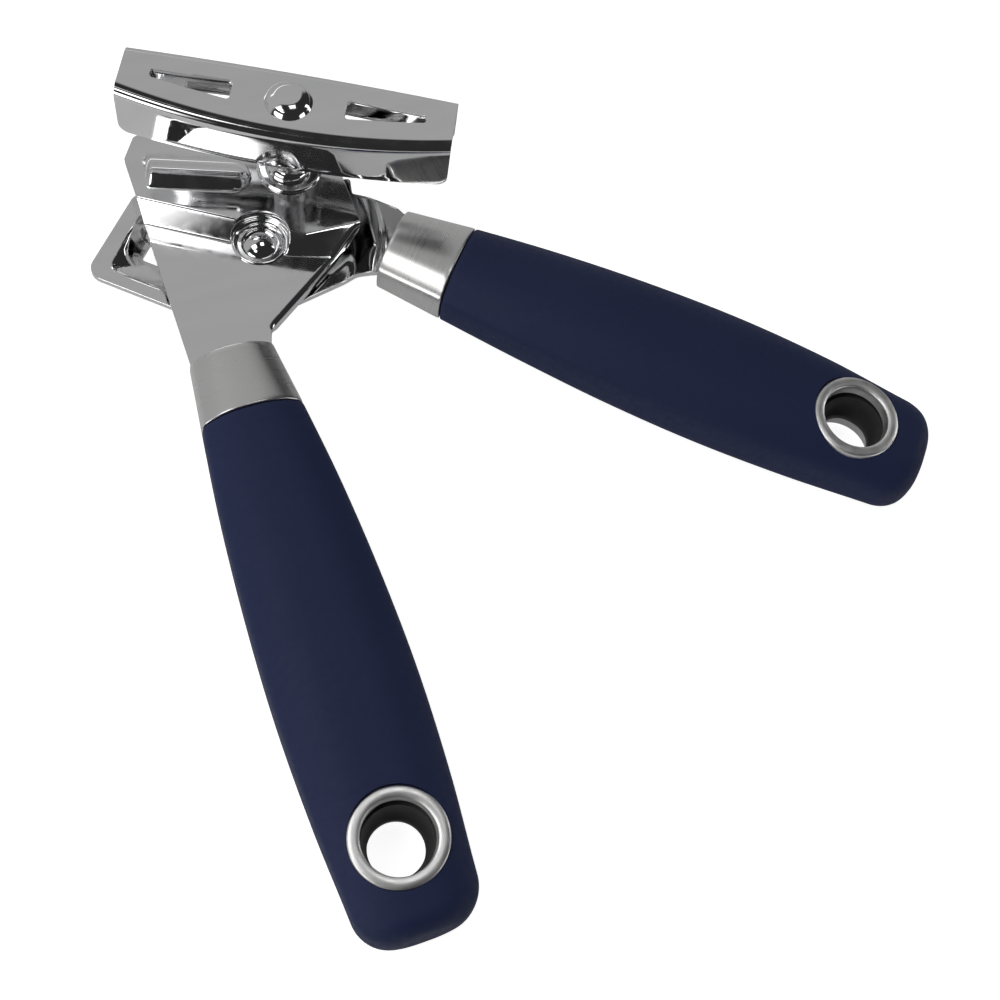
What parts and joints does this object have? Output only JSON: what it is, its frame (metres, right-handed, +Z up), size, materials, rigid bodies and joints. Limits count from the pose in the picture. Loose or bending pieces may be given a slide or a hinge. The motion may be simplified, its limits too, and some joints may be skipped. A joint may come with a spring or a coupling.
{
  "type": "manual can opener",
  "caption": "Hand can opener with two hinged levers, soft grips with hanging eyelets, a turning key, a feed wheel, a cutter wheel and a bottle opener.",
  "frame": {"origin": "on the table under the middle of the opener's box, with the levers open as stored", "axes": "+Z up from the table, the front lever's grip pointing along -Y from the pivot, the rear lever opened 48.6 degrees to its right towards +X"},
  "size_m": [0.1844, 0.2146, 0.0463],
  "materials": {
    "bright_chrome": "bright nickel-chrome plating on pressed steel, mirror-like with faint wipe marks",
    "satin_steel": "satin stainless steel with fine brushing round the sleeve",
    "plain_steel": "machined zinc-plated steel, semi-bright",
    "soft_navy_grip": "matte soft-touch moulding in dark navy",
    "black_nylon": "matte black moulded nylon",
    "dark_grey_liner": "matte dark grey moulding"
  },
  "bodies": {
    "front_lever": {"front_plate": "bright_chrome", "front_ferrule": "satin_steel", "front_core": "black_nylon", "front_grip": "soft_navy_grip", "front_ring_top": "satin_steel", "front_ring_bottom": "satin_steel", "front_hole_liner": "dark_grey_liner", "key_bushing": "bright_chrome", "pivot_rivet": "bright_chrome", "pivot_washer": "plain_steel", "pivot_burr_washer": "plain_steel"},
    "rear_lever": {"rear_plate": "bright_chrome", "rear_ferrule": "satin_steel", "rear_core": "black_nylon", "rear_grip": "soft_navy_grip", "rear_ring_top": "satin_steel", "rear_ring_bottom": "satin_steel", "rear_hole_liner": "dark_grey_liner", "cutter_stud": "plain_steel"},
    "drive": {"key_handle": "bright_chrome", "key_shaft": "plain_steel", "key_rivet_head": "bright_chrome", "drive_gear": "plain_steel", "feed_wheel": "plain_steel", "shaft_spring_washer": "plain_steel", "shaft_nut": "plain_steel"},
    "cutter": {"cutter_gear": "plain_steel", "cutter_wheel": "plain_steel"}
  },
  "joints": [
    {"name": "lever_pivot", "type": "hinge", "parent": "front_lever", "child": "rear_lever", "pos_m": [-0.05117, 0.06472, 0], "axis": [0, 0, 1], "range_deg": [-46.4, 8]},
    {"name": "key_turn", "type": "hinge", "parent": "front_lever", "child": "drive", "pos_m": [-0.03817, 0.08222, 0], "axis": [0, 0, 1], "continuous": true},
    {"name": "cutter_turn", "type": "hinge", "parent": "rear_lever", "child": "cutter", "pos_m": [-0.06348, 0.07344, 0], "axis": [0, 0, 1], "continuous": true}
  ]
}
